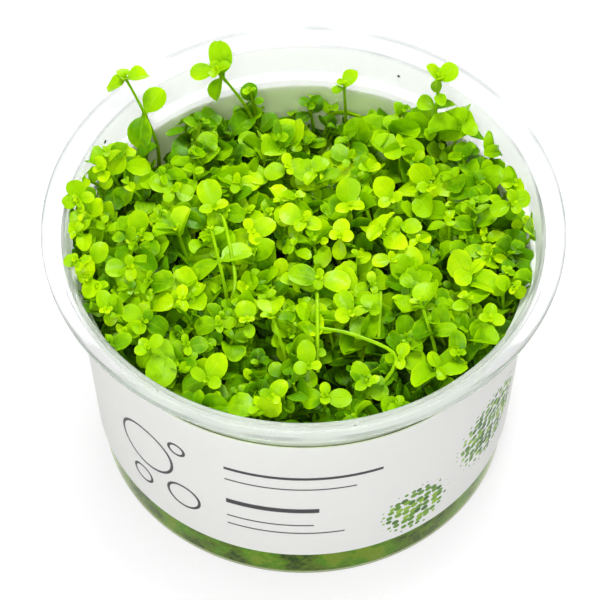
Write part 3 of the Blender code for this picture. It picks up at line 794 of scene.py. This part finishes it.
def grow_shoot(foliage, foot, tip, pairs, tint, points=12, curl=0.65, budding=True):
    """Grow a stem with its leaf pairs, and at its tip a young pair and, when budding, a bud."""
    rise = foot + Vector((0.0, 0.0, (tip - foot).length * STEM_UPRIGHT_SHARE))

    def stem_point(share):
        return foot * (1 - share) ** 2 + rise * 2 * share * (1 - share) + tip * share ** 2

    def stem_way(share):
        return ((rise - foot) * (1 - share) + (tip - rise) * share).normalized()

    nodes = [pair[0] for pair in pairs]
    shares = [k / (points - 1) for k in range(points)]
    radii = [(STEM_RADIUS_FOOT + (STEM_RADIUS_TIP - STEM_RADIUS_FOOT) * share)
             * (1 + NODE_SWELL * max(math.exp(-((share - at) / 0.04) ** 2) for at in nodes))
             for share in shares]
    path = [stem_point(share) for share in shares]
    stem_tint = tint * (SHADED_STEM_TINT if foot.y > SHADED_BACK else STEM_TINT)
    foliage.stem([foot - Vector((0.0, 0.0, STEM_IN_MAT))] + path, [STEM_RADIUS_FOOT] + radii, stem_tint)
    last = pairs[-1]
    size = RNG.uniform(*YOUNG_SHARE) * (last[2] + last[4]) / 2
    young = (1.0, last[1] + 90, 1.1 * size, YOUNG_LIFT, 0.9 * size, YOUNG_LIFT)
    bud = (1.0, last[1] + 180, BUD_LEAVES[0], BUD_LIFT, BUD_LEAVES[1], BUD_LIFT)
    end_pairs = [young, bud] if budding else [young]
    for number, (share, bearing, *sizes) in enumerate(pairs + end_pairs):
        way = stem_way(share)
        fresh = tint + 0.10 * (number - len(pairs) + 1)
        turn = 180 + sum(sizes[4:])
        for growth, length, lift in ((bearing, *sizes[:2]), (bearing + turn, *sizes[2:4])):
            outward = stem_frame(way, math.radians(growth))
            foliage.leaf(stem_point(share), outward, way, length * MM, lift, fresh, curl)


def smooth_path(points, count):
    """Points on a smooth curve through the given ones."""
    points = [points[0] * 2 - points[1]] + points + [points[-1] * 2 - points[-2]]
    path = []
    for step in range(count):
        place = step / (count - 1) * (len(points) - 3)
        k = min(int(place), len(points) - 4)
        t = place - k
        a, b, c, d = points[k:k + 4]
        path.append((b * 2 + (c - a) * t + (a * 2 - b * 5 + c * 4 - d) * t ** 2
                     + (b * 3 - a - c * 3 + d) * t ** 3) / 2)
    return path


def make_tall_shoots(material):
    """The shoots that stand out of the mat, each in place of its solid."""
    for number, (foot, tip, pairs) in enumerate(SHOOTS, start=1):
        node = f"shoot_{number:02d}"
        start = Vector((foot[0] * MM, foot[1] * MM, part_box(node)[0].z))
        foliage = Foliage(rows=10, cells=4)
        # Painted light in the middle of the mat, and painted shade at its back
        tint = RNG.uniform(*TALL_TINT) + TALL_LIT_TINT * middle_light(start.x, start.y)
        tint -= TALL_SHADE if start.y > SHADED_BACK else 0.0
        grow_shoot(foliage, start, Vector(tip) * MM, pairs, tint)
        piece = foliage.piece(f"sprig_{number:02d}", material)
        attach(piece, "root")
        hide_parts(node)


def mat_surface():
    """A function that gives the height of the mat's solid at a place."""
    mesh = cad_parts["carpet"].data
    tree = BVHTree.FromPolygons([corner.co for corner in mesh.vertices],
                                [face.vertices for face in mesh.polygons])

    def height(x, y):
        reach = math.hypot(x, y)
        shrink = min(1.0, MAT_REACH / max(reach, 1e-9))
        hit = tree.ray_cast(Vector((x * shrink, y * shrink, 0.1)), Vector((0, 0, -1)))
        return hit[0].z

    return height


def middle_light(x, y):
    """Painted light: 1 in the middle of the mat, where the light falls most, and falls to 0 towards the wall.
    """
    away = ((x - LIT_PLACE[0]) / LIT_REACH[0]) ** 2 + ((y - LIT_PLACE[1]) / LIT_REACH[1]) ** 2
    return math.exp(-away)


def region_of(x, y):
    """Number of the quarter of the mat that a place is in: front, right, back or left."""
    return int(((math.degrees(math.atan2(y, x)) + 135) % 360) // 90)


def hollowness(x, y):
    """1 in the middle of a dark hollow between the shoots, and 0 away from it."""
    return max(math.exp(-((x / MM - at_x) ** 2 + (y / MM - at_y) ** 2) / size ** 2)
               for at_x, at_y, size in HOLLOWS)


def margin(value, start, width):
    """0 up to the start of a margin, and 1 from its far side on."""
    return min(max((value - start) / width, 0.0), 1.0)


def scattered_place(number, count, first_turn, scatter):
    """One of a count of places that spread evenly over the mat, moved a little at random."""
    distance = SMALL_REACH * math.sqrt((number + 0.5) / count)
    turn = number * GOLDEN_TURN + first_turn
    x = distance * math.cos(turn) + RNG.normal(0.0, scatter)
    return x, distance * math.sin(turn) + RNG.normal(0.0, scatter)


def grow_small_shoots(height, quarters):
    """Grow the mat's small shoots, apart from those that would stand in a hollow."""
    tuft_x, tuft_y, tuft_spread = TUFT
    for number in range(SMALL_SHOOTS):
        x, y = scattered_place(number, SMALL_SHOOTS, 0.0, SMALL_SCATTER)
        draws = RNG.uniform(0.0, 1.0, 16)
        back = margin(y / MM, *BACK_MARGIN)
        left = margin(-x / MM, *LEFT_MARGIN)
        if draws[0] < 0.45 * back or draws[14] < 0.9 * hollowness(x, y):
            continue
        foot = Vector((x, y, height(x, y) - SMALL_DEPTH))
        lean = Vector((draws[1] - 0.5 - LEFT_LEAN * left, draws[2] - 0.5, 0.0)) * SMALL_LEAN * MM
        boost = math.exp(-((x / MM - tuft_x) ** 2 + (y / MM - tuft_y) ** 2) / tuft_spread)
        tall = (SMALL_HEIGHT * draws[3] * (1 - 0.25 * back) + TUFT_RISE * boost + LEFT_RISE * left) * MM
        tip = foot + lean + Vector((0.0, 0.0, SMALL_DEPTH + tall))
        size = (0.72 + 0.68 * draws[4]) * (1 + 0.22 * back + 0.20 * boost)
        bearing = 360 * draws[5]
        pairs = []
        for k, (share, first, first_lift, first_spread, second, lift, spread) in enumerate(SMALL_PAIRS):
            pairs.append((share, bearing + 90 * k, first * size, first_lift + first_spread * draws[6 + 2 * k],
                          second * size, lift + spread * draws[7 + 2 * k]))
        if draws[13] < LEGGY_SHARE:
            pairs = [(share, *pair[1:]) for share, pair in zip(LEGGY_NODES, pairs[1:])]
        # Painted light: small shoots are lighter in the middle of the mat and at its back
        tint = (TINT_LEAST + TINT_SPREAD * draws[12] ** 2 + TINT_LIT * middle_light(x, y)
                + TINT_BACK_LIGHT * back)
        grow_shoot(quarters[region_of(x, y)], foot, tip, pairs, tint, points=8, curl=SMALL_CURL,
                   budding=draws[15] < BUDDING_SHARE)


def grow_low_leaves(height):
    """Grow single leaves that fill the mat between and below its shoots."""
    low = Foliage(rows=5, cells=2)
    for number in range(LOW_LEAVES):
        x, y = scattered_place(number, LOW_LEAVES, 1.0, LOW_SCATTER)
        hollow = hollowness(x, y)
        depth = (RNG.uniform(*LOW_DEPTH) + HOLLOW_DEPTH * hollow) * MM
        base = Vector((x, y, height(x, y) - depth))
        tilt = Vector((RNG.normal(0.0, LOW_TILT), RNG.normal(0.0, LOW_TILT), 1.0)).normalized()
        outward = stem_frame(tilt, RNG.uniform(0.0, math.tau))
        # Painted light in the middle of the mat, and painted shade on leaves deep in a hollow
        low.leaf(base, outward, tilt, RNG.uniform(*LOW_LENGTH) * MM, RNG.uniform(*LOW_LIFT),
                 RNG.uniform(*LOW_TINT) + 0.25 * middle_light(x, y) - 0.30 * hollow)
    return low


def core_shape(height):
    """The shaded inside of the mat, as a closed bmesh from just over the gel up."""
    shape = bmesh.new()
    reach = MAT_REACH - CORE_MARGIN
    ways = [math.tau * k / CORE_TURNS for k in range(CORE_TURNS)]
    crown = shape.verts.new((0.0, 0.0, height(0.0, 0.0) - CORE_DEPTH))
    loops = []
    for ring in range(1, CORE_RINGS + 1):
        loop = []
        for way in ways:
            x, y = reach * ring / CORE_RINGS * math.cos(way), reach * ring / CORE_RINGS * math.sin(way)
            dip = RNG.uniform(0.0, CORE_DIP) * MM
            loop.append(shape.verts.new((x, y, height(x, y) - CORE_DEPTH - dip)))
        loops.append(loop)
    low_height = GEL_HEIGHT + CORE_GEL_GAP
    low_reach = BASE_RADIUS - WALL - CORE_FOOT_MARGIN
    loops.append([shape.verts.new((low_reach * math.cos(way), low_reach * math.sin(way), low_height))
                  for way in ways])
    for k in range(CORE_TURNS):
        shape.faces.new((crown, loops[0][k], loops[0][(k + 1) % CORE_TURNS]))
    for inner, outer in zip(loops, loops[1:]):
        for k in range(CORE_TURNS):
            after = (k + 1) % CORE_TURNS
            shape.faces.new((inner[k], outer[k], outer[after], inner[after]))
    shape.faces.new(loops[-1][::-1])
    return shape


def make_carpet(material, low_material):
    """The mat: small shoots all over, low leaves that fill between them and a shaded core."""
    height = mat_surface()
    quarters = [Foliage(rows=6, cells=4) for _ in REGIONS]
    grow_small_shoots(height, quarters)
    for run in RUNNERS:
        path = smooth_path([Vector(point) * MM for point in run], RUNNER_POINTS)
        middle = path[RUNNER_POINTS // 2]
        quarters[region_of(*middle.xy)].stem(path, [RUNNER_RADIUS] * len(path), RUNNER_TINT)
    for region, foliage in zip(REGIONS, quarters):
        piece = foliage.piece(f"carpet_{region}", material)
        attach(piece, "root")
        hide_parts("carpet")

    piece = grow_low_leaves(height).piece("carpet_low_leaves", low_material)
    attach(piece, "root")
    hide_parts("carpet")

    # Painted shade: a dark sheet under the leaves, where the mat is only shade
    core = turned_object("carpet_shade_core", core_shape(height), shade_core_material(), 80)
    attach(core, "root")
    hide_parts("carpet")


def turned_object(name, shape, material, sharp_angle):
    """A piece made of a closed bmesh."""
    bmesh.ops.recalc_face_normals(shape, faces=shape.faces)
    mesh = bpy.data.meshes.new(name)
    shape.to_mesh(mesh)
    shape.free()
    return smooth_object(name, mesh, material, sharp_angle)


def turned_shape(profile, start=0.0, sweep=math.tau, closed_profile=False):
    """Spin a profile of (radius, height) points round Z from the bearing start."""
    shape = bmesh.new()
    points = [shape.verts.new((radius, 0.0, height)) for radius, height in profile]
    edges = [shape.edges.new(pair) for pair in zip(points, points[1:])]
    if closed_profile:
        edges.append(shape.edges.new((points[-1], points[0])))
    bmesh.ops.rotate(shape, verts=points, cent=(0, 0, 0), matrix=Matrix.Rotation(start, 3, "Z"))
    bmesh.ops.spin(shape, geom=points + edges, cent=(0, 0, 0), axis=(0, 0, 1), angle=sweep,
                   steps=CUP_SEGMENTS)
    bmesh.ops.remove_doubles(shape, verts=shape.verts, dist=0.001 * MM)
    return shape


def arc(centre_radius, centre_height, size, first, last, steps):
    """Points of an arc of a profile, from the angle first to last in degrees."""
    angles = [math.radians(first + (last - first) * step / steps) for step in range(steps + 1)]
    return [(centre_radius + size * math.cos(a), centre_height + size * math.sin(a)) for a in angles]


def wall_radius(height):
    """Outer radius of the cup's wall below the step."""
    share = (height - BASE_CORNER) / (STEP_HEIGHT - BASE_CORNER)
    return BASE_RADIUS + (STEP_RADIUS - BASE_RADIUS) * share


def make_cup():
    """The thin clear cup with its rounded base corner, step, collar and dished lip."""
    lip_low = LIP_HEIGHT - 2 * LIP_EDGE
    inner_lip = COLLAR_TOP_RADIUS - WALL
    dish = LIP_HEIGHT - LIP_DISH
    outside = [(0.0, 0.0)]
    outside += arc(BASE_RADIUS - BASE_CORNER, BASE_CORNER, BASE_CORNER, -90, 0, 8)
    outside += [(wall_radius(level), level) for level in (MIST_HEIGHT, LABEL_HIGH)]
    outside += [(STEP_RADIUS, STEP_HEIGHT), (COLLAR_LOW_RADIUS, STEP_HEIGHT + STEP_SLOPE)]
    outside += arc(COLLAR_TOP_RADIUS + LIP_FILLET, lip_low - LIP_FILLET, LIP_FILLET, 180, 90, 4)
    outside += arc(LIP_RADIUS - LIP_EDGE, LIP_HEIGHT - LIP_EDGE, LIP_EDGE, -90, 90, 8)
    inside = [(LIP_GROOVE_RADIUS + LIP_GROOVE, dish + LIP_DISH * 0.45),
              (LIP_GROOVE_RADIUS, dish + LIP_DISH * 0.25),
              (LIP_GROOVE_RADIUS - LIP_GROOVE, dish + LIP_DISH * 0.40)]
    inside += arc(inner_lip + LIP_FILLET, dish - LIP_FILLET, LIP_FILLET, 90, 180, 4)
    inside += [(COLLAR_LOW_RADIUS - WALL, STEP_HEIGHT + WALL), (STEP_RADIUS - WALL, STEP_HEIGHT)]
    inside += [(wall_radius(level) - WALL, level) for level in (LABEL_HIGH, MIST_HEIGHT)]
    inside += [(wall_radius(FOOT_TOP) - FOOT_WALL, FOOT_TOP)]
    inside += arc(BASE_RADIUS - FOOT_WALL - INNER_CORNER, FLOOR + INNER_CORNER, INNER_CORNER, 0, -90, 5)
    inside += [(0.0, FLOOR)]
    piece = turned_object("clear_cup", turned_shape(outside + inside), clear_foot_material(), 40)
    for material in (misted_plant_lit_wall_material(), collar_material(), lip_material()):
        piece.data.materials.append(material)
    zones = (MIST_HEIGHT, LABEL_HIGH, lip_low - LIP_FILLET)
    for face in piece.data.polygons:
        face.material_index = sum(face.center.z > zone for zone in zones)
    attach(piece, "root")
    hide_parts("cup")


def make_label():
    """The printed film round the wall, with its butt seam at the back."""
    low_radius = wall_radius(LABEL_LOW) + LABEL_GAP
    high_radius = wall_radius(LABEL_HIGH) + LABEL_GAP
    profile = [(low_radius, LABEL_LOW), (low_radius + LABEL_SHEET, LABEL_LOW),
               (high_radius + LABEL_SHEET, LABEL_HIGH), (high_radius, LABEL_HIGH)]
    start = math.pi / 2 + LABEL_SEAM / 2
    band = turned_shape(profile, start, math.tau - LABEL_SEAM, closed_profile=True)
    bmesh.ops.holes_fill(band, edges=[edge for edge in band.edges if edge.is_boundary], sides=4)
    piece = turned_object("printed_band", band, label_material(), 40)
    # Mark the film's inner face, which its material paints with green light
    middle = [wall_radius(corner.co.z) + LABEL_GAP + LABEL_SHEET / 2 for corner in piece.data.vertices]
    inside = [float(corner.co.xy.length < reach) for corner, reach in zip(piece.data.vertices, middle)]
    piece.data.attributes.new("back", "FLOAT", "POINT").data.foreach_set("value", inside)
    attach(piece, "root")
    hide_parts("label")


def make_gel():
    """The jelly that the plant is rooted in."""
    foot = wall_radius(GEL_LOW + GEL_CORNER) - FOOT_WALL - GEL_WALL_GAP
    profile = [(0.0, GEL_LOW)] + arc(foot - GEL_CORNER, GEL_LOW + GEL_CORNER, GEL_CORNER, -90, 0, 6)
    profile += [(wall_radius(FOOT_TOP) - FOOT_WALL - 2 * GEL_WALL_GAP, FOOT_TOP - GEL_WALL_GAP),
                (wall_radius(GEL_HEIGHT) - WALL - GEL_WALL_GAP, GEL_HEIGHT), (0.0, GEL_HEIGHT)]
    piece = turned_object("gel_disc", turned_shape(profile), gel_material(), 40)
    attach(piece, "root")
    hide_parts("gel")


def make_stage():
    """Pale floor, white surroundings and soft studio light."""
    bpy.ops.mesh.primitive_plane_add(size=FLOOR_SIZE, location=(0.0, 0.0, -FLOOR_DROP))
    floor = bpy.context.object
    floor.name = "studio_floor"
    floor.data.materials.append(floor_material())
    world = bpy.data.worlds.new("studio")
    world.use_nodes = True
    surround = world.node_tree.nodes["Background"]
    surround.inputs["Color"].default_value = (1.0, 1.0, 1.0, 1.0)
    surround.inputs["Strength"].default_value = SURROUND_STRENGTH
    bpy.context.scene.world = world
    for name, place, size, power in LAMPS:
        lamp = bpy.data.lights.new(name, "AREA")
        lamp.size = size
        lamp.energy = power
        holder = bpy.data.objects.new(name, lamp)
        holder.location = place
        holder.rotation_euler = (-Vector(place)).to_track_quat("-Z", "Y").to_euler()
        bpy.context.scene.collection.objects.link(holder)


def make_camera():
    """The photograph's angle of view."""
    camera = bpy.data.objects.new("camera", bpy.data.cameras.new("camera"))
    camera.data.sensor_width = 36.0
    camera.data.lens = CAMERA_LENS
    camera.data.clip_start = 0.01
    camera.location = CAMERA_PLACE
    camera.rotation_euler = CAMERA_WAY.to_track_quat("-Z", "Y").to_euler()
    bpy.context.scene.collection.objects.link(camera)
    bpy.context.scene.camera = camera


make_camera()
make_stage()
bpy.context.scene.view_settings.view_transform = "Standard"
leaf = leaf_material("leaf_green", *LEAF_SHADE_HEIGHTS)
low_leaf = leaf_material("mat_green", *LOW_SHADE_HEIGHTS)
make_cup()
make_label()
make_gel()
make_tall_shoots(leaf)
make_carpet(leaf, low_leaf)
